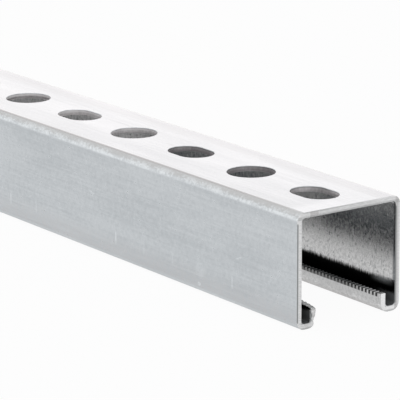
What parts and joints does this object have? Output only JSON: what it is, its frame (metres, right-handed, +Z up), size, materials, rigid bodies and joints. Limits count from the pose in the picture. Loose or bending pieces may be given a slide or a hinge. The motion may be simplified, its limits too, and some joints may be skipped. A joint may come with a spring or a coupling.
{
  "type": "strut channel",
  "caption": "Roll-formed galvanised steel strut channel with toothed return lips and a web row of short slots and round holes by turns.",
  "frame": {"origin": "centre of the channel's length and width, at the underside of its lips", "axes": "+X along the stock to the sawn end whose first web hole is a slot, +Z up from the open side to the punched web"},
  "size_m": [0.6096, 0.0412, 0.0381],
  "materials": {
    "galvanised_steel": "zinc-coated mill finish, satin"
  },
  "bodies": {
    "root": {"strut_channel": "galvanised_steel"}
  },
  "joints": []
}
